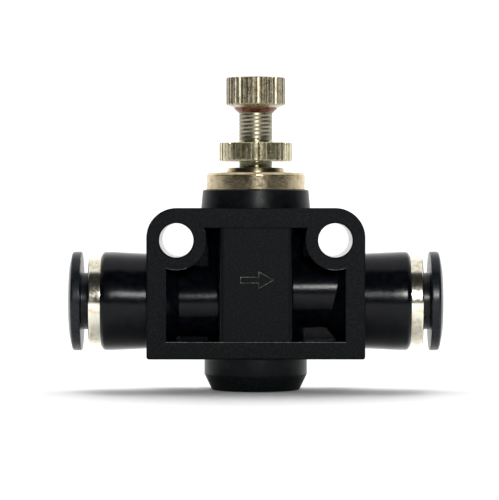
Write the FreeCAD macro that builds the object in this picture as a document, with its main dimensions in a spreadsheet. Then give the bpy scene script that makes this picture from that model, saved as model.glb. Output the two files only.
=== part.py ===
# In-line flow control valve with two push-in ports for 6 mm tube. Millimetres.
# Origin: centre of the base's resting face. +X along the flow, +Z up to the adjusting knob.
import FreeCAD, Part
import math
import os
import Sketcher
from FreeCAD import Placement, Rotation, Vector

# Driving dimensions. "from_centre" sizes run outwards along X, "height" sizes run up from the base.
SIZES = {
    # base, frame and collar
    "base_radius": 6.7, "base_foot_radius": 5.7, "base_chamfer_height": 2.1, "base_edge_round": 0.5,
    "frame_bottom_height": 4.3, "frame_top_height": 23.75, "frame_half_width": 14.05, "frame_half_depth": 7.2,
    "frame_corner_radius": 3.85, "frame_foot_corner": 0.35, "frame_edge_round": 0.22,
    "pocket_bottom_height": 6.57, "pocket_top_height": 21.2, "pocket_outer_from_centre": 11.5,
    "web_thickness": 1.5, "column_half_width": 4.85, "column_recess": 0.32, "column_edge_round": 0.8,
    "core_radius": 6.3, "collar_radius": 7.12, "collar_top_radius": 6.92, "collar_top_height": 26.13,
    "collar_edge_chamfer": 0.14,
    # mounting holes
    "hole_radius": 2.2, "hole_mouth": 0.18, "hole_half_spacing": 10.2, "hole_height": 19.6,
    # port barrels
    "port_height": 11.6, "barrel_radius": 6.42, "barrel_root_radius": 6.2, "barrel_end_from_centre": 20.05,
    "barrel_edge_round": 0.55, "shoulder_from_centre": 9.6, "shoulder_radius": 4.4,
    "neck_radius": 4.7, "neck_inner_from_centre": 4.0, "right_neck_rise": 1.2,
    # bores of the body
    "cartridge_bore_radius": 5.3, "cartridge_floor_from_centre": 12.4, "tube_bore_radius": 3.1,
    "tube_stop_from_centre": 9.4, "antechamber_radius": 2.6, "antechamber_from_centre": 7.6,
    "passage_radius": 1.6, "left_passage_height": 9.0, "right_passage_height": 13.8,
    "lower_chamber_radius": 3.8, "lower_chamber_floor": 6.8, "seal_bore_radius": 4.7, "seal_bore_floor": 9.6,
    "bonnet_bore_radius": 5.4, "bonnet_bore_floor": 20.6,
    # flow arrow
    "arrow_height": 14.5, "arrow_rise": 0.16, "arrow_shaft_length": 2.5, "arrow_shaft_width": 0.85,
    "arrow_head_radius": 1.35,
    # bonnet and threaded bush
    "bonnet_radius": 6.42, "bonnet_top_radius": 6.32, "bonnet_rim_height": 28.0, "bonnet_cone_height": 28.42,
    "bonnet_groove_floor_radius": 4.1, "bonnet_groove_low": 22.4, "bonnet_groove_high": 24.0,
    "gland_radius": 2.6, "gland_low": 16.6, "bush_seat_height": 23.0, "bush_radius": 3.4,
    "skirt_radius": 3.7, "skirt_bore_radius": 3.0, "skirt_low": 11.3,
    "window_width": 2.4, "window_low": 13.0, "window_high": 16.0,
    "bush_head_radius": 3.75, "bush_head_top_radius": 3.5, "bush_top_height": 29.0,
    "bush_relief_radius": 2.62, "bush_thread_low": 26.6, "thread_clearance": 0.07,
    # needle
    "thread_radius": 2.06, "thread_pitch": 0.5, "thread_depth": 0.28, "thread_low": 25.0, "thread_high": 36.3,
    "stem_radius": 2.5, "stem_low": 17.4, "stem_groove_radius": 1.68, "stem_groove_low": 19.9,
    "stem_groove_high": 21.1, "needle_neck_radius": 1.6, "needle_shoulder": 15.45,
    "taper_radius": 1.12, "tip_radius": 0.5, "tip_height": 12.2, "spigot_radius": 1.6, "spigot_top": 40.0,
    # seals and orifice of the centre
    "seat_low": 10.7, "seat_flange_radius": 4.25, "seat_top": 12.4, "orifice_radius": 1.2,
    "seat_mouth_radius": 2.0, "seat_lip_radius": 1.5,
    "check_seal_top": 12.8, "check_lip_radius": 4.66, "check_lip_height": 11.45, "check_heel_radius": 4.2,
    "stem_oring_section": 0.44, "stem_oring_radius": 2.14, "bonnet_oring_section": 0.64,
    "bonnet_oring_radius": 4.75,
    # adjusting knob and lock nut
    "knob_radius": 3.86, "knob_root_radius": 3.64, "knob_low": 37.15, "knob_top": 40.78, "knob_teeth": 34,
    "knob_hub_radius": 2.35, "knob_cone_radius": 3.55, "knob_hole_top": 40.2, "knob_edge": 0.15,
    "nut_radius": 4.78, "nut_root_radius": 4.5, "nut_low": 29.82, "nut_high": 32.27, "nut_teeth": 36,
    "nut_boss_radius": 2.35, "nut_boss_top": 32.62, "nut_edge": 0.12,
    # cartridge of each port, measured outwards along X
    "guide_radius": 6.0, "guide_face": 21.68, "guide_inner": 16.7, "guide_throat_radius": 3.85,
    "guide_pocket_radius": 4.45, "guide_shoulder": 19.0, "guide_edge": 0.25,
    "sleeve_neck_radius": 3.7, "sleeve_nose": 17.1, "sleeve_nose_radius": 3.55, "sleeve_barb_radius": 4.25,
    "sleeve_barb_low": 17.6, "sleeve_barb_high": 18.95, "flange_low": 22.68, "flange_radius": 6.45,
    "flange_rim": 23.85, "flange_face": 24.24, "flange_face_radius": 4.7, "flange_rim_round": 0.3,
    "sleeve_mouth_radius": 3.5, "sleeve_mouth_depth": 0.4, "slit_width": 0.6, "slit_end": 19.6,
    "grab_radius": 5.2, "grab_low": 16.35, "grab_thickness": 0.3, "claw_root_radius": 4.4,
    "claw_tip_radius": 2.92, "claw_tip_low": 15.43, "claw_slot_width": 0.7, "claw_count": 10,
    "ring_radius": 5.25, "backup_low": 14.9, "backup_high": 16.3, "backup_bore_radius": 3.2,
    "backup_mouth_radius": 4.75, "backup_cone_low": 15.2,
    "tube_seal_low": 12.6, "tube_seal_high": 14.7, "tube_seal_lip_radius": 2.95,
}

doc = FreeCAD.newDocument("flow_control_valve")
sheet = doc.addObject("Spreadsheet::Sheet", "Sizes")
for row, (alias, value) in enumerate(SIZES.items(), start=1):
    sheet.set(f"A{row}", alias)
    sheet.set(f"B{row}", str(value))
    sheet.setAlias(f"B{row}", alias)
doc.recompute()


class Size:
    """A length that carries its value and the sheet formula that it comes from."""

    def __init__(self, value, text):
        self.value = value
        self.text = text

    @staticmethod
    def of(item):
        return item if isinstance(item, Size) else Size(item, str(item))

    def __add__(self, other):
        other = Size.of(other)
        return Size(self.value + other.value, f"({self.text} + {other.text})")

    def __sub__(self, other):
        other = Size.of(other)
        return Size(self.value - other.value, f"({self.text} - {other.text})")

    def __mul__(self, number):
        return Size(self.value * number, f"({self.text} * {number})")

    def __neg__(self):
        return self * -1


class Dimensions:
    """Gives each alias of the sheet as a Size."""

    def __getattr__(self, alias):
        return Size(SIZES[alias], "Sizes." + alias)


d = Dimensions()

# Rotations that lay an item's own Z axis along a direction.
ALONG = {
    "+Z": Rotation(),
    "+X": Rotation(Vector(0, 1, 0), 90),
    "-X": Rotation(Vector(0, 1, 0), -90),
    "+Y": Rotation(Vector(1, 0, 0), -90),
}
SIDES = {"left": "-X", "right": "+X"}
SIGN = {"left": -1, "right": 1}


def bind(item, **sizes):
    for name, size in sizes.items():
        item.setExpression(name, Size.of(size).text)


def place(item, x=0, y=0, z=0, along="+Z"):
    item.Placement = Placement(Vector(), ALONG[along])
    for axis, size in zip("xyz", (x, y, z)):
        item.setExpression(".Placement.Base." + axis, Size.of(size).text)
    return item


def box(name, length, width, height, **where):
    item = doc.addObject("Part::Box", name)
    bind(item, Length=length, Width=width, Height=height)
    return place(item, **where)


def cylinder(name, radius, height, **where):
    item = doc.addObject("Part::Cylinder", name)
    bind(item, Radius=radius, Height=height)
    return place(item, **where)


def torus(label, radius, section, height):
    item = doc.addObject("Part::Torus", label)
    bind(item, Radius1=radius, Radius2=section)
    return place(item, z=height)


def fuse(name, items):
    item = doc.addObject("Part::MultiFuse", name)
    item.Shapes = items
    return item


def cut(name, base, tool):
    item = doc.addObject("Part::Cut", name)
    item.Base = base
    item.Tool = tool
    return item


def rounded_edges(name, base, rounds):
    """Part fillet. rounds: pairs of a test on an edge's middle and ends, and the radius where it passes."""
    doc.recompute()
    edges = []
    for index, edge in enumerate(base.Shape.Edges, start=1):
        middle = edge.valueAt((edge.FirstParameter + edge.LastParameter) / 2)
        ends = [vertex.Point for vertex in edge.Vertexes]
        for chosen, size in rounds:
            if chosen(middle, ends):
                edges.append((index, size.value, size.value))
                break
    item = doc.addObject("Part::Fillet", name)
    item.Base = base
    item.Edges = edges
    return item


def origin_part(body, role):
    return next(item for item in body.Origin.OriginFeatures if item.Role == role)


def outline_sketch(body, name, plane, corners):
    """Closed outline of straight lines, each corner held at its place by the sheet."""
    sketch = body.newObject("Sketcher::SketchObject", name)
    sketch.AttachmentSupport = (origin_part(body, plane), [""])
    sketch.MapMode = "FlatFace"
    points = [Vector(Size.of(across).value, Size.of(up).value, 0) for across, up in corners]
    for start, end in zip(points, points[1:] + points[:1]):
        sketch.addGeometry(Part.LineSegment(start, end))
    for line in range(len(corners)):
        following = (line + 1) % len(corners)
        sketch.addConstraint(Sketcher.Constraint("Coincident", line, 2, following, 1))
    for line, corner in enumerate(corners):
        for kind, axis, size in zip(("DistanceX", "DistanceY"), (-2, -1), corner):
            size = Size.of(size)
            if size.value == 0:
                sketch.addConstraint(Sketcher.Constraint("PointOnObject", line, 1, axis))
                continue
            number = sketch.addConstraint(Sketcher.Constraint(kind, -1, 1, line, 1, size.value))
            sketch.setExpression(f"Constraints[{number}]", size.text)
    return sketch


def turned(label, corners, rounds=()):
    """Body of revolution about its own Z axis. corners: (radius, height). rounds: (radius, height, round)."""
    body = doc.addObject("PartDesign::Body", label)
    sketch = outline_sketch(body, label + "_outline", "XZ_Plane", corners)
    feature = body.newObject("PartDesign::Revolution", label + "_turned")
    feature.Profile = sketch
    feature.ReferenceAxis = (sketch, ["V_Axis"])
    feature.Angle = 360
    body.Tip = feature
    doc.recompute()
    for number, (radius, height, size) in enumerate(rounds):
        names = [
            f"Edge{index}"
            for index, edge in enumerate(feature.Shape.Edges, start=1)
            if isinstance(edge.Curve, Part.Circle)
            and abs(edge.Curve.Radius - radius.value) < 1e-4
            and abs(edge.Curve.Center.z - height.value) < 1e-4
        ]
        fillet = body.newObject("PartDesign::Fillet", f"{label}_round_{number}")
        fillet.Base = (feature, names)
        bind(fillet, Radius=size)
        body.Tip = fillet
        feature = fillet
        doc.recompute()
    return body


def notched(body, label, corners, count):
    """Cuts a notch with this outline, seen along the body's axis, and repeats it round the axis."""
    before = body.Shape.Volume
    sketch = outline_sketch(body, label + "_notch_outline", "XY_Plane", corners)
    notch = body.newObject("PartDesign::Pocket", label + "_notch")
    notch.Profile = sketch
    notch.Type = "ThroughAll"
    notch.SideType = "Symmetric"
    body.Tip = notch
    doc.recompute()
    pattern = body.newObject("PartDesign::PolarPattern", label + "_notches")
    pattern.Originals = [notch]
    pattern.Axis = (origin_part(body, "Z_Axis"), [""])
    pattern.Angle = 360
    bind(pattern, Occurrences=count)
    body.Tip = pattern
    doc.recompute()
    if body.Shape.Volume >= before:
        raise RuntimeError(label + ": the notches cut nothing")
    return body


def knurled(body, label, crest, root, count):
    """Straight V knurl: the flanks of neighbouring notches meet at the crests."""
    beyond = 0.1
    half_width = crest * (math.pi / count.value * 1.05)
    notch = [(root, 0), (crest + beyond, -half_width), (crest + beyond, half_width)]
    return notched(body, label, notch, count)


# ---------------------------------------------------------------- moulded body

def frame():
    """Mounting frame: a plate with pockets on both faces, round a central column."""
    height = d.frame_top_height - d.frame_bottom_height
    block = box(
        "frame_block", d.frame_half_width * 2, d.frame_half_depth * 2, height,
        x=-d.frame_half_width, y=-d.frame_half_depth, z=d.frame_bottom_height,
    )

    def along_y_at(height):
        return lambda middle, ends: abs(middle.y) < 0.01 and abs(middle.z - height.value) < 0.01 and abs(
            middle.x) > d.column_half_width.value

    corners = rounded_edges("frame_corners", block, [
        (along_y_at(d.frame_top_height), d.frame_corner_radius),
        (along_y_at(d.frame_bottom_height), d.frame_foot_corner),
    ])
    softened = rounded_edges("frame_softened", corners, [
        (lambda middle, ends: abs(abs(middle.y) - d.frame_half_depth.value) < 0.01, d.frame_edge_round),
    ])
    tools = []
    opening = d.pocket_top_height - d.pocket_bottom_height
    for side, sign in SIGN.items():
        for face, facing in (("front", -1), ("back", 1)):
            width = d.pocket_outer_from_centre - d.column_half_width
            depth = d.frame_half_depth - d.web_thickness * 0.5
            start = d.column_half_width if sign > 0 else -d.pocket_outer_from_centre
            pocket = box(
                f"{side}_{face}_pocket_box", width, depth, opening, x=start, z=d.pocket_bottom_height,
                y=d.web_thickness * 0.5 if facing > 0 else -d.frame_half_depth,
            )
            boss = cylinder(
                f"{side}_{face}_boss", d.frame_corner_radius, d.frame_half_depth * 2,
                x=d.hole_half_spacing * sign, y=-d.frame_half_depth, z=d.hole_height, along="+Y",
            )
            tools.append(cut(f"{side}_{face}_pocket", pocket, boss))
    for face, start in (("front", -d.frame_half_depth), ("back", d.frame_half_depth - d.column_recess)):
        tools.append(box(
            f"{face}_recess", d.column_half_width * 2, d.column_recess, opening, x=-d.column_half_width,
            y=start, z=d.pocket_bottom_height,
        ))
    pocketed = cut("frame_pocketed", softened, fuse("frame_pockets", tools))
    face_y = d.frame_half_depth.value - d.column_recess.value

    def column_edge(middle, ends):
        if abs(ends[0].z - ends[-1].z) < 10:
            return False
        return abs(abs(middle.x) - d.column_half_width.value) < 0.01 and abs(abs(middle.y) - face_y) < 0.01

    return rounded_edges("frame_column", pocketed, [(column_edge, d.column_edge_round)])


def neck_rise(side):
    return {"left": Size.of(0), "right": d.right_neck_rise}[side]


def barrel(side):
    """Outer shape of one port. Its shoulder starts inside the neck, which sits higher on the right."""
    rise = neck_rise(side)
    start = d.shoulder_from_centre - rise * 0.6
    name = side + "_barrel"
    item = turned(name, [
        (0, start), (d.shoulder_radius - rise, start),
        (d.barrel_root_radius, d.pocket_outer_from_centre), (d.barrel_root_radius, d.frame_half_width),
        (d.barrel_radius, d.barrel_end_from_centre - d.barrel_edge_round * 2.5),
        (d.barrel_radius, d.barrel_end_from_centre), (0, d.barrel_end_from_centre),
    ], [(d.barrel_radius, d.barrel_end_from_centre, d.barrel_edge_round)])
    return place(item, z=d.port_height, along=SIDES[side])


def neck(side):
    return cylinder(
        side + "_neck", d.neck_radius, d.pocket_outer_from_centre - d.neck_inner_from_centre,
        x=d.neck_inner_from_centre * SIGN[side], z=d.port_height + neck_rise(side), along=SIDES[side],
    )


def port_bores(side):
    """Stepped bore: cartridge bore, tube socket, antechamber and the passage to the centre."""
    steps = [
        ("cartridge", d.cartridge_bore_radius, d.cartridge_floor_from_centre, d.barrel_end_from_centre + 1),
        ("socket", d.tube_bore_radius, d.tube_stop_from_centre, d.barrel_end_from_centre),
        ("antechamber", d.antechamber_radius, d.antechamber_from_centre, d.barrel_end_from_centre),
    ]
    sign = SIGN[side]
    bores = [
        cylinder(f"{side}_{name}_bore", radius, end - start, x=start * sign, z=d.port_height, along=SIDES[side])
        for name, radius, start, end in steps
    ]
    height = {"left": d.left_passage_height, "right": d.right_passage_height}[side]
    length = d.tube_stop_from_centre
    bores.append(cylinder(side + "_passage", d.passage_radius, length, z=height, along=SIDES[side]))
    return bores


def mounting_hole(side):
    """Through hole with a small chamfer at each mouth."""
    where = {"x": d.hole_half_spacing * SIGN[side], "z": d.hole_height, "along": "+Y"}
    tools = [cylinder(side + "_mounting_hole", d.hole_radius, d.frame_half_depth * 2 + 2,
                      y=-d.frame_half_depth - 1, **where)]
    wide = d.hole_radius + d.hole_mouth
    mouths = {"front": (wide, d.hole_radius, -d.frame_half_depth),
              "back": (d.hole_radius, wide, d.frame_half_depth - d.hole_mouth)}
    for face, (near, far, start) in mouths.items():
        mouth = doc.addObject("Part::Cone", f"{side}_{face}_hole_mouth")
        bind(mouth, Radius1=near, Radius2=far, Height=d.hole_mouth)
        tools.append(place(mouth, y=start, **where))
    return tools


def flow_arrow():
    """Raised arrow on the column's front face, pointing along the metered flow."""
    back = -d.frame_half_depth + d.column_recess
    depth = d.arrow_rise + 0.3
    shaft = box(
        "arrow_shaft", d.arrow_shaft_length, depth, d.arrow_shaft_width,
        x=-d.arrow_shaft_length * 0.8, y=back - d.arrow_rise, z=d.arrow_height - d.arrow_shaft_width * 0.5,
    )
    head = doc.addObject("Part::Prism", "arrow_head")
    head.Polygon = 3
    bind(head, Circumradius=d.arrow_head_radius, Height=depth)
    place(head, x=d.arrow_shaft_length * 0.4, y=back - d.arrow_rise, z=d.arrow_height, along="+Y")
    return [shaft, head]


def valve_body():
    base = turned("base", [
        (0, 0), (d.base_foot_radius, 0), (d.base_radius, d.base_chamfer_height),
        (d.base_radius, d.frame_bottom_height + 1), (0, d.frame_bottom_height + 1),
    ], [(d.base_foot_radius, Size.of(0), d.base_edge_round)])
    core = cylinder("core", d.core_radius, d.frame_top_height - d.frame_bottom_height, z=d.frame_bottom_height)
    collar = turned("collar", [
        (0, d.frame_top_height - 1), (d.collar_radius, d.frame_top_height - 1),
        (d.collar_radius, d.frame_top_height),
        (d.collar_top_radius, d.collar_top_height - d.collar_edge_chamfer),
        (d.collar_top_radius - d.collar_edge_chamfer, d.collar_top_height), (0, d.collar_top_height),
    ])
    solids = [frame(), base, core, collar] + flow_arrow()
    bores = [
        cylinder("lower_chamber", d.lower_chamber_radius, d.seal_bore_floor - d.lower_chamber_floor + 1,
                 z=d.lower_chamber_floor),
        cylinder("seal_bore", d.seal_bore_radius, d.bonnet_bore_floor - d.seal_bore_floor + 1,
                 z=d.seal_bore_floor),
        cylinder("bonnet_bore", d.bonnet_bore_radius, d.collar_top_height - d.bonnet_bore_floor + 1,
                 z=d.bonnet_bore_floor),
    ]
    for side in SIDES:
        solids += [barrel(side), neck(side)]
        bores += port_bores(side)
        bores += mounting_hole(side)
    return cut("valve_body", fuse("body_solids", solids), fuse("body_bores", bores))


# ---------------------------------------------------------------- centre: bonnet, needle, seals

def bonnet():
    blank = turned("bonnet_blank", [
        (d.gland_radius, d.gland_low), (d.gland_radius, d.bush_seat_height),
        (d.bush_radius, d.bush_seat_height),
        (d.bush_radius, d.bonnet_cone_height), (d.bush_head_radius + 0.15, d.bonnet_cone_height),
        (d.bonnet_top_radius, d.bonnet_rim_height + 0.1), (d.bonnet_radius, d.bonnet_rim_height - 0.1),
        (d.bonnet_radius, d.collar_top_height), (d.bonnet_bore_radius, d.collar_top_height),
        (d.bonnet_bore_radius, d.bonnet_groove_high), (d.bonnet_groove_floor_radius, d.bonnet_groove_high),
        (d.bonnet_groove_floor_radius, d.bonnet_groove_low), (d.bonnet_bore_radius, d.bonnet_groove_low),
        (d.bonnet_bore_radius, d.bonnet_bore_floor), (d.skirt_radius, d.bonnet_bore_floor),
        (d.skirt_radius, d.skirt_low), (d.skirt_bore_radius, d.skirt_low), (d.skirt_bore_radius, d.gland_low),
    ])
    reach = d.skirt_radius * 2 + 2
    across = {"x": (reach, d.window_width), "y": (d.window_width, reach)}
    windows = [
        box(f"window_{axis}", length, width, d.window_high - d.window_low,
            x=-length * 0.5, y=-width * 0.5, z=d.window_low)
        for axis, (length, width) in across.items()
    ]
    return cut("bonnet", blank, fuse("windows", windows))


def needle_bush():
    bore = d.thread_radius + d.thread_clearance
    return turned("needle_bush", [
        (d.bush_relief_radius, d.bush_seat_height), (d.bush_radius, d.bush_seat_height),
        (d.bush_radius, d.bonnet_cone_height), (d.bush_head_radius, d.bonnet_cone_height),
        (d.bush_head_top_radius, d.bush_top_height), (bore, d.bush_top_height), (bore, d.bush_thread_low),
        (d.bush_relief_radius, d.bush_thread_low),
    ])


def needle():
    """Metering needle. The thread is a row of ring grooves at the thread's pitch."""
    body = turned("needle", [
        (0, d.tip_height), (d.tip_radius, d.tip_height), (d.taper_radius, d.needle_shoulder),
        (d.needle_neck_radius, d.needle_shoulder), (d.needle_neck_radius, d.stem_low - 0.2),
        (d.stem_radius - 0.2, d.stem_low), (d.stem_radius, d.stem_low + 0.2),
        (d.stem_radius, d.stem_groove_low), (d.stem_groove_radius, d.stem_groove_low),
        (d.stem_groove_radius, d.stem_groove_high), (d.stem_radius, d.stem_groove_high),
        (d.stem_radius, d.thread_low - 0.4), (d.thread_radius, d.thread_low), (d.thread_radius, d.thread_high),
        (d.spigot_radius, d.thread_high), (d.spigot_radius, d.spigot_top), (0, d.spigot_top),
    ])
    before = body.Shape.Volume
    first = d.thread_low + d.thread_pitch
    root = d.thread_radius - d.thread_depth
    outer = d.thread_radius + 0.02
    sketch = outline_sketch(body, "thread_groove_outline", "XZ_Plane", [
        (root, first), (outer, first - d.thread_pitch * 0.42), (outer, first + d.thread_pitch * 0.42),
    ])
    groove = body.newObject("PartDesign::Groove", "thread_groove")
    groove.Profile = sketch
    groove.ReferenceAxis = (sketch, ["V_Axis"])
    groove.Angle = 360
    body.Tip = groove
    doc.recompute()
    turns = round((d.thread_high.value - first.value) / d.thread_pitch.value)
    pattern = body.newObject("PartDesign::LinearPattern", "thread_grooves")
    pattern.Originals = [groove]
    pattern.Direction = (origin_part(body, "Z_Axis"), [""])
    pattern.Occurrences = turns
    bind(pattern, Length=d.thread_pitch * (turns - 1))
    body.Tip = pattern
    doc.recompute()
    if body.Shape.Volume >= before:
        raise RuntimeError("needle: the thread cut nothing")
    return body


def seat_ring():
    return turned("seat_ring", [
        (d.seat_mouth_radius, d.seat_low), (d.seat_flange_radius, d.seat_low),
        (d.seat_flange_radius, d.skirt_low),
        (d.skirt_bore_radius, d.skirt_low), (d.skirt_bore_radius, d.seat_top), (d.seat_lip_radius, d.seat_top),
        (d.orifice_radius, d.seat_top - 0.25), (d.orifice_radius, d.seat_low + 0.7),
    ])


def check_seal():
    """Lip packing round the bonnet's skirt; its lip opens towards the lower chamber."""
    low = d.skirt_low + 0.05
    return turned("check_seal", [
        (d.skirt_radius, low), (d.skirt_radius + 0.3, low), (d.skirt_radius + 0.35, low + 0.65),
        (d.check_heel_radius + 0.25, low), (d.check_lip_radius, d.check_lip_height),
        (d.check_heel_radius + 0.25, d.check_seal_top - 0.2), (d.check_heel_radius, d.check_seal_top),
        (d.skirt_radius, d.check_seal_top),
    ])


def adjusting_knob():
    body = turned("adjusting_knob", [
        (d.spigot_radius, d.thread_high), (d.knob_hub_radius, d.thread_high),
        (d.knob_cone_radius, d.knob_low - 0.05), (d.knob_radius - d.knob_edge, d.knob_low),
        (d.knob_radius, d.knob_low + d.knob_edge), (d.knob_radius, d.knob_top - d.knob_edge),
        (d.knob_radius - d.knob_edge, d.knob_top), (0, d.knob_top), (0, d.knob_hole_top),
        (d.spigot_radius, d.knob_hole_top),
    ])
    return knurled(body, "knob_knurl", d.knob_radius, d.knob_root_radius, d.knob_teeth)


def lock_nut():
    bore = d.thread_radius + d.thread_clearance
    body = turned("lock_nut", [
        (bore, d.nut_low), (d.nut_radius - d.nut_edge, d.nut_low), (d.nut_radius, d.nut_low + d.nut_edge),
        (d.nut_radius, d.nut_high - d.nut_edge), (d.nut_radius - d.nut_edge, d.nut_high),
        (d.nut_boss_radius, d.nut_high), (d.nut_boss_radius, d.nut_boss_top), (bore, d.nut_boss_top),
    ])
    return knurled(body, "nut_knurl", d.nut_radius, d.nut_root_radius, d.nut_teeth)


# ---------------------------------------------------------------- push-in cartridge of each port

def guide_ring(side):
    item = turned("guide_ring_" + side, [
        (d.guide_throat_radius, d.guide_shoulder), (d.guide_throat_radius, d.guide_face),
        (d.guide_radius, d.guide_face), (d.guide_radius, d.barrel_end_from_centre),
        (d.cartridge_bore_radius, d.barrel_end_from_centre), (d.cartridge_bore_radius, d.guide_inner),
        (d.guide_pocket_radius, d.guide_inner), (d.guide_pocket_radius, d.guide_shoulder),
    ], [(d.guide_radius, d.guide_face, d.guide_edge)])
    return place(item, z=d.port_height, along=SIDES[side])


def release_sleeve(side):
    name = "release_sleeve_" + side
    blank = turned(name + "_blank", [
        (d.tube_bore_radius, d.sleeve_nose), (d.sleeve_nose_radius, d.sleeve_nose),
        (d.sleeve_barb_radius, d.sleeve_barb_low), (d.sleeve_barb_radius, d.sleeve_barb_high),
        (d.sleeve_neck_radius, d.sleeve_barb_high), (d.sleeve_neck_radius, d.flange_low),
        (d.flange_radius, d.flange_low), (d.flange_radius, d.flange_rim), (d.flange_face_radius, d.flange_face),
        (d.sleeve_mouth_radius, d.flange_face), (d.tube_bore_radius, d.flange_face - d.sleeve_mouth_depth),
    ], [(d.flange_radius, d.flange_rim, d.flange_rim_round)])
    reach = d.sleeve_barb_radius * 2 + 2
    across = {"x": (reach, d.slit_width), "y": (d.slit_width, reach)}
    slits = [
        box(f"{name}_slit_{axis}", length, width, d.slit_end - d.sleeve_nose + 1,
            x=-length * 0.5, y=-width * 0.5, z=d.sleeve_nose - 1)
        for axis, (length, width) in across.items()
    ]
    item = cut(name, blank, fuse(name + "_slits", slits))
    return place(item, z=d.port_height, along=SIDES[side])


def grab_ring(side):
    """Stainless ring whose claws bite the tube and are pushed open by the release sleeve."""
    name = "grab_ring_" + side
    top = d.grab_low + d.grab_thickness
    body = turned(name, [
        (d.grab_radius, d.grab_low), (d.grab_radius, top), (d.claw_root_radius, top),
        (d.claw_tip_radius, d.claw_tip_low + d.grab_thickness), (d.claw_tip_radius, d.claw_tip_low),
        (d.claw_root_radius, d.grab_low),
    ])
    half = d.claw_slot_width * 0.5
    inner = d.claw_tip_radius - 0.5
    outer = d.claw_root_radius - 0.1
    notched(body, name, [(inner, -half), (outer, -half), (outer, half), (inner, half)], d.claw_count)
    return place(body, z=d.port_height, along=SIDES[side])


def backup_ring(side):
    item = turned("backup_ring_" + side, [
        (d.backup_bore_radius, d.backup_low), (d.ring_radius, d.backup_low), (d.ring_radius, d.backup_high),
        (d.backup_mouth_radius, d.backup_high), (d.backup_bore_radius, d.backup_cone_low),
    ])
    return place(item, z=d.port_height, along=SIDES[side])


def tube_seal(side):
    """Lip seal on the tube, open towards the pressure."""
    item = turned("tube_seal_" + side, [
        (d.ring_radius, d.tube_seal_low), (d.ring_radius, d.tube_seal_high),
        (d.tube_bore_radius + 0.2, d.tube_seal_high),
        (d.tube_seal_lip_radius + 0.1, d.tube_seal_high - 0.5), (d.tube_seal_lip_radius, d.tube_seal_low + 0.6),
        (d.tube_bore_radius, d.tube_seal_low), (d.tube_bore_radius + 0.5, d.tube_seal_low),
        (d.tube_bore_radius + 0.9, d.tube_seal_low + 1), (d.tube_bore_radius + 1.2, d.tube_seal_low + 1),
        (d.tube_bore_radius + 1.5, d.tube_seal_low),
    ])
    return place(item, z=d.port_height, along=SIDES[side])


# ---------------------------------------------------------------- assembly, checks and export

parts = [valve_body(), bonnet(), needle_bush(), needle(), seat_ring(), check_seal(), adjusting_knob(), lock_nut()]
parts.append(torus("needle_oring", d.stem_oring_radius, d.stem_oring_section,
                   (d.stem_groove_low + d.stem_groove_high) * 0.5))
parts.append(torus("bonnet_oring", d.bonnet_oring_radius, d.bonnet_oring_section,
                   (d.bonnet_groove_low + d.bonnet_groove_high) * 0.5))
for side in SIDES:
    parts += [guide_ring(side), release_sleeve(side), grab_ring(side), backup_ring(side), tube_seal(side)]
doc.recompute()

failed = [item.Name for item in doc.Objects if {"Invalid", "Error"} & set(item.State)]
bad = [item.Label for item in parts if item.Shape.isNull() or not item.Shape.isValid() or len(item.Shape.Solids) != 1]
if failed or bad:
    raise RuntimeError(f"failed objects: {failed}; bad shapes: {bad}")

os.makedirs("parts", exist_ok=True)
for item in parts:
    item.Shape.exportStep(f"parts/{item.Label}.step")
    print(f"{item.Label}: {item.Shape.Volume:.1f} mm3")
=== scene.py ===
# Looks of the in-line flow control valve: turned brass on a black moulded body, on a pale floor.
import math
import bmesh
import bpy
import numpy as np
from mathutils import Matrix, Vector


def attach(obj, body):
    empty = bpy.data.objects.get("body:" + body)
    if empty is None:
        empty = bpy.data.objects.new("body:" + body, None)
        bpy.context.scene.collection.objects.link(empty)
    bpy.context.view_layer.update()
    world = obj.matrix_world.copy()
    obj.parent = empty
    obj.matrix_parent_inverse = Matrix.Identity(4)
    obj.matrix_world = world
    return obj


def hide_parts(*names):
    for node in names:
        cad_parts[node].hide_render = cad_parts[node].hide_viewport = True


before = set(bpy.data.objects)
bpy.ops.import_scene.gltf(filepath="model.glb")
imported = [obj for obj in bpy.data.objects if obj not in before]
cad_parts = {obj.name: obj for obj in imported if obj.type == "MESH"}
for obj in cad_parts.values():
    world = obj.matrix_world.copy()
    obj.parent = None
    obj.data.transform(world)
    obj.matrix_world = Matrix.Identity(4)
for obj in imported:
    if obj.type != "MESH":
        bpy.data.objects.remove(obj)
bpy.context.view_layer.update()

# ---------------------------------------------------------------- sizes, millimetres

MM = 0.001                                  # metres
WELD, SLIVER, TOUCH = 1e-7, 1e-8, 1e-6      # metres: distances that count as none
MICROMETRE = 1e-6                           # metres
FLAT, SQUARE, RISING = 1e-3, 0.99999, 0.2   # angle between faces; parts of a face's normal
SEGMENTS, TOOTH_STEPS = 192, 18             # steps round a turned piece, and round one tooth
ARC_STEPS, SUPPORT = 4, 0.05                # steps in a rounded corner, and the straight beside it

PORT_HEIGHT = 11.6
FRAME_LOW, FRAME_HIGH = 4.3, 23.75
FRAME_HALF_WIDTH, FRAME_HALF_DEPTH = 14.05, 7.2
FRAME_FACE = 6.75                           # the front and back faces lie beyond this depth
ARROW_FACE, ARROW_LOW, ARROW_HIGH = 7.04, 13, 16    # how far out the arrow stands, and its heights
RIM_ROUND, RIM_ANGLE = 0.09, math.radians(60)
END_WALL = 10.2                             # the frame's end posts begin here
OUTER_END, OUTER_FOOT = 0.4, 0.3            # its outside lies within these of its ends and its foot
OUTER_TOP = 22.2                            # and above this height
BARREL_CLEAR, COLLAR_CLEAR = 6.5, 6.5       # radii just outside the barrels and the bonnet
NEAR = 0.01

PITCH, THREAD_CREST, THREAD_DEPTH = 0.5, 2.17, 0.035
THREAD_LOW, THREAD_HIGH, RUN_OUT = 25.0, 36.3, 0.6 * PITCH
THREAD_ROWS, THREAD_SEGMENTS = 12, 144      # steps along one turn, and round it
# Below this height the needle's thread is painted dark, as the shade under the lock nut.
NUT_SHADE_TOP = 29.9

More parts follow.
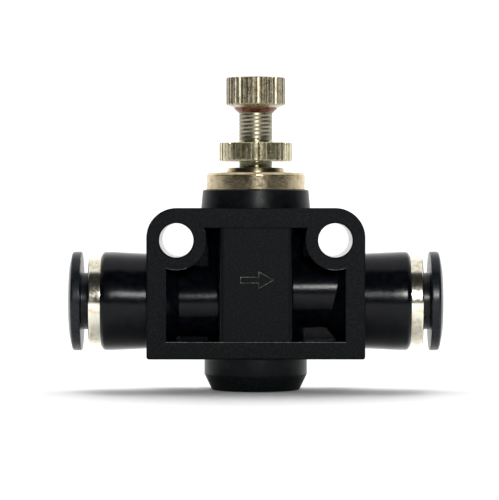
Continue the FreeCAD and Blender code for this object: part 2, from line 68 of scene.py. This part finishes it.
KNOB_CREST, KNOB_ROOT, KNOB_TEETH, KNOB_GROOVE = 3.86, 3.69, 34, 0.5
# Below this height the knob is painted dark as shade.
KNOB_CONE_TOP = 36.84
NUT_CREST, NUT_ROOT, NUT_TEETH, NUT_GROOVE = 4.78, 4.57, 36, 0.34
GROOVE_BLUNT = 0.05                         # roundness of a groove's bottom, in half widths


# ---------------------------------------------------------------- surfaces of revolution

def rounded(corners):
    """Closed outline with each (radius, height, rounding) corner turned into a small arc."""
    points = []
    for index, (radius, height, size) in enumerate(corners):
        here = Vector((radius, height))
        if not size:
            points.append(here)
            continue
        back = (Vector(corners[index - 1][:2]) - here).normalized()
        ahead = (Vector(corners[(index + 1) % len(corners)][:2]) - here).normalized()
        points.append(here + back * (size + SUPPORT))
        for step in range(ARC_STEPS + 1):
            t = step / ARC_STEPS
            points.append(here + back * size * (1 - t) ** 2 + ahead * size * t ** 2)
        points.append(here + ahead * (size + SUPPORT))
    return points


def laid(x, y, z, along):
    """Turns coordinates about a piece's own axis into the valve's frame."""
    if along == "+Z":
        return x, y, z
    sign = 1 if along == "+X" else -1
    return sign * z, sign * x, y + PORT_HEIGHT


def mesh_object(name, vertices, faces):
    """New object in metres, with double vertices welded and its faces turned outward."""
    mesh = bpy.data.meshes.new(name)
    mesh.from_pydata(vertices, [], faces)
    shape = bmesh.new()
    shape.from_mesh(mesh)
    bmesh.ops.remove_doubles(shape, verts=shape.verts, dist=WELD)
    bmesh.ops.dissolve_degenerate(shape, dist=SLIVER, edges=shape.edges)
    bmesh.ops.recalc_face_normals(shape, faces=shape.faces)
    shape.to_mesh(mesh)
    shape.free()
    item = bpy.data.objects.new(name, mesh)
    bpy.context.scene.collection.objects.link(item)
    return item


def revolve(name, outline, along="+Z", segments=SEGMENTS, shaped=None):
    """Closed surface of revolution. shaped(radii, heights, angles) can lower the radii."""
    angles = np.linspace(0, 2 * np.pi, segments, endpoint=False)
    radii = np.array([point[0] for point in outline])[:, None] + 0 * angles
    heights = np.array([point[1] for point in outline])[:, None] + 0 * angles
    if shaped:
        radii = shaped(radii, heights, angles)
    places = laid(radii * np.cos(angles), radii * np.sin(angles), heights, along)
    vertices = (np.stack(places, axis=-1) * MM).reshape(-1, 3).tolist()
    rows = len(outline)
    faces = []
    for row in range(rows):
        upper = (row + 1) % rows
        for column in range(segments):
            following = (column + 1) % segments
            faces.append((row * segments + column, row * segments + following,
                          upper * segments + following, upper * segments + column))
    return mesh_object(name, vertices, faces)


def smoothed(item, angle=38):
    """Smooth shading, with edges sharper than angle, in degrees, left hard."""
    item.data.shade_smooth()
    item.data.set_sharp_from_angle(angle=math.radians(angle))
    return item


def crossed(reach, half_width, low, high):
    """Low and high corners of two boxes through a piece's own axis, square to each other."""
    return [((-reach, -half_width, low), (reach, half_width, high)),
            ((-half_width, -reach, low), (half_width, reach, high))]


def carved(item, boxes, along="+Z"):
    """Cuts boxes, given by their low and high corners, out of a closed mesh."""
    faces = [(0, 1, 3, 2), (4, 6, 7, 5), (0, 4, 5, 1), (2, 3, 7, 6), (0, 2, 6, 4), (1, 5, 7, 3)]
    for low, high in boxes:
        corners = [laid(x, y, z, along) for x in (low[0], high[0]) for y in (low[1], high[1])
                   for z in (low[2], high[2])]
        tool = mesh_object("tool", [[value * MM for value in corner] for corner in corners], faces)
        cut = item.modifiers.new("cut", "BOOLEAN")
        cut.operation = "DIFFERENCE"
        cut.solver = "EXACT"
        cut.object = tool
        bpy.context.view_layer.update()
        graph = bpy.context.evaluated_depsgraph_get()
        mesh = bpy.data.meshes.new_from_object(item.evaluated_get(graph))
        item.modifiers.clear()
        item.data = mesh
        bpy.data.objects.remove(tool)
    return item


def knurl(crest, root, teeth, groove):
    """Straight knurl: V grooves that take this share of the pitch, between flat crests."""
    def shaped(radii, heights, angles):
        across = np.abs((angles * teeth / (2 * np.pi)) % 1 - 0.5) * 2 / groove
        ridge = np.sqrt(across ** 2 + (2 * GROOVE_BLUNT) ** 2) - GROOVE_BLUNT
        return np.minimum(radii, root + (crest - root) * np.clip(ridge, 0, 1))
    return shaped


def screw(radii, heights, angles):
    """Right-hand helical thread with a rounded profile, run out at both ends."""
    turn = heights / PITCH * 2 * np.pi - angles
    ends = np.clip(np.minimum(heights - THREAD_LOW, THREAD_HIGH - heights) / RUN_OUT, 0, 1)
    threaded = THREAD_CREST - THREAD_DEPTH * (0.5 - 0.5 * np.cos(turn)) * ends
    inside = (heights > THREAD_LOW) & (heights < THREAD_HIGH)
    return np.where(inside, np.minimum(radii, threaded), radii)


# ---------------------------------------------------------------- materials

MOTTLE_DETAIL, WEAR_DETAIL, BUMP_DETAIL = 5.0, 3.0, 2.0
WEAR_PATCHES, WEAR_LOW, WEAR_HIGH = 2.3, 0.35, 0.65     # wear is finer than the mottling
TARNISH, POLISH, BRIGHTEST = (0.80, 0.76, 0.66), 1.08, 0.95


def node(tree, kind, inputs=None, **settings):
    """New node. Its inputs are linked where a socket is given, and set where a value is."""
    item = tree.nodes.new(kind)
    for key, value in settings.items():
        setattr(item, key, value)
    for key, value in (inputs or {}).items():
        if isinstance(value, bpy.types.NodeSocket):
            tree.links.new(value, item.inputs[key])
        else:
            item.inputs[key].default_value = value
    return item


def ramp(tree, factor, stops):
    """Colour ramp through (position, colour) stops."""
    item = node(tree, "ShaderNodeValToRGB", {"Fac": factor})
    elements = item.color_ramp.elements
    elements[0].position = stops[0][0]
    elements[1].position = stops[-1][0]
    for position, _ in stops[1:-1]:
        elements.new(position)
    for element, (_, colour) in zip(elements, stops):
        element.color = (*colour, 1)
    return item.outputs["Color"]


def millimetres(tree, centre_height):
    """Object coordinates in millimetres, measured from a point at centre_height."""
    place = node(tree, "ShaderNodeTexCoord").outputs["Object"]
    mapping = node(tree, "ShaderNodeMapping", {"Vector": place, "Location": (0, 0, -centre_height),
                                               "Scale": (1000, 1000, 1000)})
    return mapping.outputs["Vector"]


def noise(tree, place, per_mm, detail):
    inputs = {"Vector": place, "Scale": per_mm, "Detail": detail}
    return node(tree, "ShaderNodeTexNoise", inputs).outputs["Fac"]


def lathe_place(tree, place, axis):
    """(distance from the axis, 0, distance along it): noise there makes rings, as a tool does."""
    parts = node(tree, "ShaderNodeSeparateXYZ", {"Vector": place}).outputs
    across = [parts[letter] for letter in "XYZ" if letter != axis]
    flat = node(tree, "ShaderNodeCombineXYZ", {"X": across[0], "Y": across[1]}).outputs["Vector"]
    radius = node(tree, "ShaderNodeVectorMath", {0: flat}, operation="LENGTH").outputs["Value"]
    return node(tree, "ShaderNodeCombineXYZ", {"X": radius, "Z": parts[axis]}).outputs["Vector"]


def surface(name, tones, rough, *, bumps, metallic=0.0, patches=1.2, spread=0.13, turned=None,
            centre_height=0.0, specular=0.5):
    """tones: dark, middle and light colour of the mottling. rough: where smoothest and roughest.
    bumps: (bumps per mm, height in micrometres) of each layer. turned: the axis of the tool's
    rings, their number per mm and their height in micrometres."""
    material = bpy.data.materials.new(name)
    material.use_nodes = True
    tree = material.node_tree
    shader = tree.nodes["Principled BSDF"]
    shader.inputs["Metallic"].default_value = metallic
    shader.inputs["Specular IOR Level"].default_value = specular
    place = millimetres(tree, centre_height)
    mottle = noise(tree, place, patches, MOTTLE_DETAIL)
    stops = [(0.5 - spread, tones[0]), (0.5, tones[1]), (0.5 + spread, tones[2])]
    tree.links.new(ramp(tree, mottle, stops), shader.inputs["Base Color"])
    wear = node(tree, "ShaderNodeMapRange", {
        "Value": noise(tree, place, patches * WEAR_PATCHES, WEAR_DETAIL),
        "From Min": WEAR_LOW, "From Max": WEAR_HIGH, "To Min": rough[0], "To Max": rough[1]})
    tree.links.new(wear.outputs["Result"], shader.inputs["Roughness"])
    layers = [(noise(tree, place, per_mm, BUMP_DETAIL), height) for per_mm, height in bumps]
    if turned:
        axis, per_mm, height = turned
        rings = lathe_place(tree, place, axis)
        layers.append((noise(tree, rings, per_mm, BUMP_DETAIL), height))
    normal = None
    for level, height in layers:
        inputs = {"Height": level, "Distance": height * MICROMETRE, "Strength": 1.0}
        if normal:
            inputs["Normal"] = normal
        normal = node(tree, "ShaderNodeBump", inputs).outputs["Normal"]
    tree.links.new(normal, shader.inputs["Normal"])
    return material


def brass(name, middle, rough, **more):
    """Metal with tarnished and polished patches about its middle colour."""
    dark = tuple(value * factor for value, factor in zip(middle, TARNISH))
    light = tuple(min(value * POLISH, BRIGHTEST) for value in middle)
    return surface(name, (dark, middle, light), rough, metallic=1.0, **more)


textured = surface(
    "moulded_texture",
    ((0.0015, 0.0030, 0.0035), (0.003, 0.0045, 0.005), (0.007, 0.009, 0.0095)), (0.42, 0.50),
    patches=4.5, bumps=((7.0, 12.0), (19.0, 4.0)), specular=0.07)
gloss = surface(
    "moulded_gloss",
    ((0.001, 0.0015, 0.0025), (0.002, 0.0025, 0.004), (0.004, 0.0045, 0.006)), (0.14, 0.20),
    bumps=((5.0, 6.0), (9.0, 6.0)), specular=0.19)
# Pale colour painted on rims as a highlight, where they look up and round the arrow.
rim_highlight_paint = surface(
    "rim_highlight_paint",
    ((0.015, 0.015, 0.013), (0.05, 0.048, 0.040), (0.16, 0.15, 0.12)), (0.35, 0.50),
    patches=2.5, bumps=((9.0, 6.0),), specular=0.4)
satin = surface(
    "moulded_satin",
    ((0.002, 0.003, 0.0035), (0.003, 0.004, 0.005), (0.005, 0.006, 0.007)), (0.30, 0.37),
    bumps=((7.0, 5.0), (19.0, 1.0)), specular=0.14)
sleeve_plastic = surface(
    "sleeve_plastic",
    ((0.006, 0.007, 0.010), (0.008, 0.010, 0.013), (0.011, 0.013, 0.017)), (0.26, 0.32),
    bumps=((5.0, 1.5), (16.0, 0.4)), specular=0.26)
bonnet_brass = brass(
    "bonnet_brass", (0.62, 0.52, 0.34), (0.17, 0.24), bumps=((8.0, 9.0),), turned=("Z", 9.0, 0.8))
bush_brass = brass(
    "bush_brass", (0.55, 0.47, 0.28), (0.16, 0.23), bumps=((7.0, 2.0),), turned=("Z", 9.0, 1.0))
needle_metal = brass(
    "needle_brass", (0.33, 0.31, 0.23), (0.34, 0.42), bumps=((8.0, 4.0),), turned=("Z", 14.0, 0.6))
# Dark brass painted on the thread as the shade under the lock nut.
nut_shade_brass = brass(
    "nut_shade_brass", (0.13, 0.13, 0.09), (0.20, 0.28), bumps=((8.0, 3.0),), turned=("Z", 14.0, 0.6))
knob_brass = brass(
    "knob_brass", (0.50, 0.45, 0.33), (0.26, 0.33), bumps=((7.0, 3.0),), turned=("Z", 7.0, 0.8))
# Dark reddish brass painted on the knob's underside cone as shade and dark reflection.
knob_shade_brass = brass(
    "knob_shade_brass", (0.20, 0.09, 0.07), (0.26, 0.34), bumps=((7.0, 4.0),), turned=("Z", 7.0, 0.8))
nut_brass = brass(
    "nut_brass", (0.76, 0.71, 0.50), (0.17, 0.24), bumps=((7.0, 9.0),), turned=("Z", 7.0, 0.8))
ring_brass = brass(
    "guide_ring_brass", (0.95, 0.90, 0.76), (0.13, 0.19), bumps=((7.0, 1.5),),
    turned=("X", 9.0, 0.8), centre_height=PORT_HEIGHT)
plain_brass = brass(
    "plain_brass", (0.70, 0.58, 0.34), (0.20, 0.30), bumps=((9.0, 2.0),), turned=("Z", 9.0, 1.0))
rubber = surface(
    "nitrile_rubber",
    ((0.010, 0.010, 0.010), (0.014, 0.014, 0.014), (0.020, 0.020, 0.019)), (0.55, 0.70),
    bumps=((6.0, 6.0), (20.0, 2.0)))
stainless = surface(
    "stainless_steel", ((0.50, 0.50, 0.49), (0.60, 0.59, 0.57), (0.66, 0.65, 0.63)), (0.22, 0.34),
    metallic=1.0, bumps=((10.0, 1.5),), turned=("X", 10.0, 1.0), centre_height=PORT_HEIGHT)
acetal = surface(
    "white_acetal", ((0.66, 0.65, 0.61), (0.74, 0.73, 0.69), (0.80, 0.79, 0.75)), (0.32, 0.42),
    bumps=((5.0, 3.0), (15.0, 1.0)))
floor_paint = surface(
    "floor_paint", ((0.80, 0.80, 0.80), (0.82, 0.82, 0.82), (0.84, 0.84, 0.84)), (0.85, 0.95),
    patches=0.02, bumps=((1.0, 8.0),), specular=0.1)


# ---------------------------------------------------------------- pieces

BODY_MATERIALS = (textured, gloss, satin, rim_highlight_paint)
TEXTURED, GLOSS, SATIN, RIM_HIGHLIGHT = range(4)


def painted(item, material):
    item.data.materials.clear()
    item.data.materials.append(material)


def shown(name, material):
    """A CAD piece that is seen as it is."""
    painted(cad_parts[name], material)


def stands_for(name, item, body):
    """Attach a piece that is seen in place of a CAD piece to its body, and hide the CAD piece."""
    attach(item, body)
    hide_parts(name)


def round_rims(mesh):
    """Rounds the rims of the frame and of the arrow, with a pale highlight painted where they look
    up or lie at the arrow's height. Flat faces are joined first, so that each rim is one run of
    edges."""
    shape = bmesh.new()
    shape.from_mesh(mesh)
    bmesh.ops.remove_doubles(shape, verts=shape.verts, dist=WELD)
    flat = [edge for edge in shape.edges
            if len(edge.link_faces) == 2 and edge.calc_face_angle() < FLAT
            and max(abs(value) for value in edge.link_faces[0].normal) > SQUARE]
    bmesh.ops.dissolve_edges(shape, edges=flat, use_verts=True)
    rims = [edge for edge in shape.edges
            if len(edge.link_faces) == 2 and edge.calc_face_angle() > RIM_ANGLE
            and (all(abs(abs(end.co.y) - FRAME_HALF_DEPTH * MM) < TOUCH for end in edge.verts)
                 or all(abs(end.co.y + ARROW_FACE * MM) < TOUCH for end in edge.verts))]
    rounds = bmesh.ops.bevel(shape, geom=rims, offset=RIM_ROUND * MM, segments=2, profile=0.5,
                             affect="EDGES", clamp_overlap=True)
    for face in rounds["faces"]:
        height = face.calc_center_median().z / MM
        # Rims that look up, and the arrow's rims, get the pale painted highlight.
        if face.normal.z > RISING or ARROW_LOW < height < ARROW_HIGH:
            face.material_index = RIM_HIGHLIGHT
    shape.to_mesh(mesh)
    shape.free()


def body_slots(mesh):
    """Material of each face: texture on the frame's faces, on its outside and on the foot, satin on
    the collar and the base, gloss on the rest. Rims already given the painted highlight keep it.
    across, deep and up are how far the face looks along X, Y and Z."""
    count = len(mesh.polygons)
    centres = np.zeros(count * 3)
    normals = np.zeros(count * 3)
    given = np.zeros(count, dtype=np.int32)
    mesh.polygons.foreach_get("center", centres)
    mesh.polygons.foreach_get("normal", normals)
    mesh.polygons.foreach_get("material_index", given)
    x, y, z = np.abs(centres.reshape(-1, 3).T) / MM
    across, deep, up = np.abs(normals.reshape(-1, 3).T)
    in_frame = (z > FRAME_LOW - NEAR) & (z < FRAME_HIGH + NEAR)
    faces = in_frame & (y > FRAME_FACE) & (deep > 0.25)
    outside_barrel = np.hypot(y, z - PORT_HEIGHT) > BARREL_CLEAR
    ends = (in_frame & (x > END_WALL) & (x < FRAME_HALF_WIDTH + NEAR) & outside_barrel
            & (across + up > 0.7))
    outer = (x > FRAME_HALF_WIDTH - OUTER_END) | (z > OUTER_TOP) | (z < FRAME_LOW + OUTER_FOOT)
    collar = (z > FRAME_HIGH - NEAR) & (np.hypot(x, y) > COLLAR_CLEAR)
    base = (z < FRAME_LOW) & (across + deep > 0.9) & (up < RISING)
    foot = (z < FRAME_LOW) & (across + deep > 0.3) & (up > RISING)
    slots = np.where(faces | (ends & outer) | foot, TEXTURED, np.where(collar | base, SATIN, GLOSS))
    return np.where(given == RIM_HIGHLIGHT, RIM_HIGHLIGHT, slots).astype(np.int32)


def body_look():
    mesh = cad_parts["valve_body"].data.copy()
    item = bpy.data.objects.new("valve_body_look", mesh)
    bpy.context.scene.collection.objects.link(item)
    mesh.materials.clear()
    for material in BODY_MATERIALS:
        mesh.materials.append(material)
    if "custom_normal" in mesh.attributes:
        mesh.attributes.remove(mesh.attributes["custom_normal"])
    round_rims(mesh)
    mesh.polygons.foreach_set("material_index", body_slots(mesh))
    smoothed(item, 30)
    level = item.modifiers.new("level", "WEIGHTED_NORMAL")
    level.keep_sharp = True
    stands_for("valve_body", item, "housing")


def two_tones(item, lower, height):
    """Second material for what lies below this height."""
    item.data.materials.append(lower)
    for face in item.data.polygons:
        face.material_index = int(face.center.z < height * MM)


def bonnet_look():
    item = revolve("bonnet_look", rounded([
        (2.6, 16.6, 0), (2.6, 23.0, 0), (3.4, 23.0, 0), (3.4, 28.42, 0), (3.9, 28.42, 0.05),
        (6.16, 28.34, 0.06), (6.45, 28.02, 0.06), (6.45, 26.13, 0.06), (5.4, 26.13, 0),
        (5.4, 24.0, 0.08), (4.1, 24.0, 0.1), (4.1, 22.4, 0.1), (5.4, 22.4, 0.08), (5.4, 20.6, 0.08),
        (3.7, 20.6, 0.08), (3.7, 11.3, 0), (3.0, 11.3, 0), (3.0, 16.6, 0.1),
    ]))
    smoothed(carved(item, crossed(4.7, 1.2, 13.0, 16.0)))
    painted(item, bonnet_brass)
    stands_for("bonnet", item, "housing")


def bush_look():
    item = revolve("needle_bush_look", rounded([
        (2.62, 23.0, 0), (3.4, 23.0, 0), (3.4, 28.42, 0), (3.8, 28.42, 0.04), (3.66, 29.0, 0.08),
        (2.2, 29.0, 0.1), (2.2, 26.6, 0.05), (2.62, 26.6, 0),
    ]))
    smoothed(item)
    painted(item, bush_brass)
    stands_for("needle_bush", item, "housing")


def needle_look():
    rows = np.arange(THREAD_LOW, THREAD_HIGH, PITCH / THREAD_ROWS)
    outline = rounded([
        (0, 12.2, 0), (0.5, 12.2, 0.08), (1.12, 15.45, 0.05), (1.6, 15.45, 0.1), (1.6, 17.2, 0.05),
        (2.3, 17.4, 0.05), (2.5, 17.6, 0.05), (2.5, 19.9, 0.06), (1.68, 19.9, 0.06),
        (1.68, 21.1, 0.06), (2.5, 21.1, 0.06), (2.5, 24.6, 0.05),
    ]) + [Vector((THREAD_CREST, height)) for height in rows] + rounded([
        (THREAD_CREST, THREAD_HIGH, 0), (1.6, THREAD_HIGH, 0), (1.6, 40.0, 0.15), (0, 40.0, 0),
    ])
    item = revolve("needle_look", outline, segments=THREAD_SEGMENTS, shaped=screw)
    smoothed(item, 50)
    painted(item, needle_metal)
    stands_for("needle", item, "needle")
    # The thread below the lock nut is painted dark as its shade.
    two_tones(item, nut_shade_brass, NUT_SHADE_TOP)


def knob_look():
    shaped = knurl(KNOB_CREST, KNOB_ROOT, KNOB_TEETH, KNOB_GROOVE)
    item = revolve("adjusting_knob_look", rounded([
        (1.6, 36.3, 0), (2.05, 36.3, 0), (2.05, 36.15, 0), (2.22, 36.15, 0.04), (2.7, 36.6, 0.1),
        (2.87, 36.86, 0.05), (3.71, 37.15, 0.05), (KNOB_CREST, 37.3, 0.05),
        (KNOB_CREST, 40.63, 0.05), (3.71, 40.78, 0.05), (0, 40.78, 0), (0, 40.2, 0), (1.6, 40.2, 0),
    ]), segments=KNOB_TEETH * TOOTH_STEPS, shaped=shaped)
    smoothed(item)
    painted(item, knob_brass)
    stands_for("adjusting_knob", item, "needle")
    # The cone under the knob is painted dark as shade and dark reflection.
    two_tones(item, knob_shade_brass, KNOB_CONE_TOP)


def nut_look():
    shaped = knurl(NUT_CREST, NUT_ROOT, NUT_TEETH, NUT_GROOVE)
    item = revolve("lock_nut_look", rounded([
        (2.2, 29.82, 0.1), (4.66, 29.82, 0.04), (NUT_CREST, 29.94, 0.04), (NUT_CREST, 32.15, 0.04),
        (4.66, 32.27, 0.04), (2.35, 32.27, 0.05), (2.35, 32.62, 0.06), (2.2, 32.62, 0.04),
    ]), segments=NUT_TEETH * TOOTH_STEPS, shaped=shaped)
    smoothed(item)
    painted(item, nut_brass)
    stands_for("lock_nut", item, "lock_nut")


def guide_ring_look(side, along):
    item = revolve(f"guide_ring_{side}_look", rounded([
        (3.85, 19.0, 0.05), (3.85, 21.68, 0.12), (6.0, 21.68, 0.25), (6.0, 20.05, 0.08),
        (5.3, 20.05, 0), (5.3, 16.7, 0), (4.45, 16.7, 0.08), (4.45, 19.0, 0.05),
    ]), along=along)
    smoothed(item)
    painted(item, ring_brass)
    stands_for("guide_ring_" + side, item, "housing")


def sleeve_look(side, along):
    item = revolve(f"release_sleeve_{side}_look", rounded([
        (3.1, 17.1, 0), (3.55, 17.1, 0.06), (4.25, 17.6, 0.06), (4.25, 18.95, 0.06),
        (3.7, 18.95, 0.06), (3.7, 22.68, 0.12), (6.45, 22.68, 0.15), (6.45, 23.85, 0.3),
        (4.7, 24.24, 0.3), (3.5, 24.24, 0.12), (3.1, 23.84, 0.12),
    ]), along=along)
    smoothed(carved(item, crossed(5.3, 0.3, 16.1, 19.6), along))
    painted(item, sleeve_plastic)
    stands_for("release_sleeve_" + side, item, "sleeve_" + side)


body_look()
bonnet_look()
bush_look()
needle_look()
knob_look()
nut_look()
for side, along in (("left", "-X"), ("right", "+X")):
    guide_ring_look(side, along)
    sleeve_look(side, along)
    shown("grab_ring_" + side, stainless)
    shown("backup_ring_" + side, acetal)
    shown("tube_seal_" + side, rubber)
for name in ("needle_oring", "bonnet_oring", "check_seal"):
    shown(name, rubber)
shown("seat_ring", plain_brass)
for name, material in (("valve_body", gloss), ("bonnet", bonnet_brass), ("needle_bush", bush_brass),
                       ("needle", needle_metal), ("adjusting_knob", knob_brass),
                       ("lock_nut", nut_brass),
                       ("guide_ring_left", ring_brass), ("guide_ring_right", ring_brass),
                       ("release_sleeve_left", sleeve_plastic),
                       ("release_sleeve_right", sleeve_plastic)):
    painted(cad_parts[name], material)

# ---------------------------------------------------------------- floor, light and camera

FLOOR_FRONT, FLOOR_REACH = -0.16, 6         # metres
CAMERA_DOWN = 0.82                          # degrees below level


def light(name, kind, place, target, energy, **settings):
    """Light at a place, aimed at a target."""
    data = bpy.data.lights.new(name, kind)
    data.energy = energy
    for key, value in settings.items():
        setattr(data, key, value)
    item = bpy.data.objects.new(name, data)
    item.location = place
    item.rotation_euler = (Vector(target) - Vector(place)).to_track_quat("-Z", "Y").to_euler()
    bpy.context.scene.collection.objects.link(item)
    return item


def sky_step(value, start, end, low, high):
    """Smooth step from low to high, between two values of a direction's part."""
    inputs = {"Value": value, "From Min": start, "From Max": end, "To Min": low, "To Max": high}
    item = node(sky, "ShaderNodeMapRange", inputs, interpolation_type="SMOOTHSTEP")
    return item.outputs["Result"]


def sky_math(operation, first, second):
    return node(sky, "ShaderNodeMath", {0: first, 1: second}, operation=operation).outputs["Value"]


floor = mesh_object("floor", [(-FLOOR_REACH, FLOOR_FRONT, 0), (FLOOR_REACH, FLOOR_FRONT, 0),
                              (FLOOR_REACH, FLOOR_REACH, 0), (-FLOOR_REACH, FLOOR_REACH, 0)],
                    [(0, 1, 2, 3)])
floor.data.materials.append(floor_paint)

key = light("key_softbox", "AREA", place=(0.080, -0.568, 0.190), target=(0, 0, 0.015), energy=1.75,
            shape="RECTANGLE", size=0.10, size_y=0.075)
key.visible_camera = False
overhead = light("overhead", "SUN", place=(0, 0.8, 1), target=(0, 0, 0), energy=3.5,
                 angle=math.radians(66))
overhead.visible_glossy = False

# The room is bright at the back and overhead, dim in front, and white where the camera sees it.
world = bpy.data.worlds.new("studio")
world.use_nodes = True
bpy.context.scene.world = world
sky = world.node_tree
direction = node(sky, "ShaderNodeTexCoord").outputs["Generated"]
parts = node(sky, "ShaderNodeSeparateXYZ", {"Vector": direction}).outputs
back = sky_step(parts["Y"], start=-0.15, end=0.92, low=0.02, high=1.3)
ceiling = sky_math("MULTIPLY", sky_step(parts["Y"], start=-0.26, end=-0.12, low=0.0, high=0.9),
                   sky_step(parts["Z"], start=0.5, end=0.9, low=0.0, high=1.0))
seen = node(sky, "ShaderNodeLightPath").outputs["Is Camera Ray"]
strength = sky_math("MAXIMUM", sky_math("MAXIMUM", back, ceiling), seen)
sky.links.new(strength, sky.nodes["Background"].inputs["Strength"])
sky.nodes["Background"].inputs["Color"].default_value = (1, 1, 1, 1)

lens = bpy.data.cameras.new("camera")
lens.lens = 202
lens.sensor_width = 36
lens.sensor_fit = "HORIZONTAL"
lens.clip_start = 0.01
camera = bpy.data.objects.new("camera", lens)
camera.location = (-0.00081, -0.366, 0.0235)
camera.rotation_euler = (math.radians(90 - CAMERA_DOWN), 0, 0)
bpy.context.scene.collection.objects.link(camera)
bpy.context.scene.camera = camera
bpy.context.scene.view_settings.view_transform = "Standard"
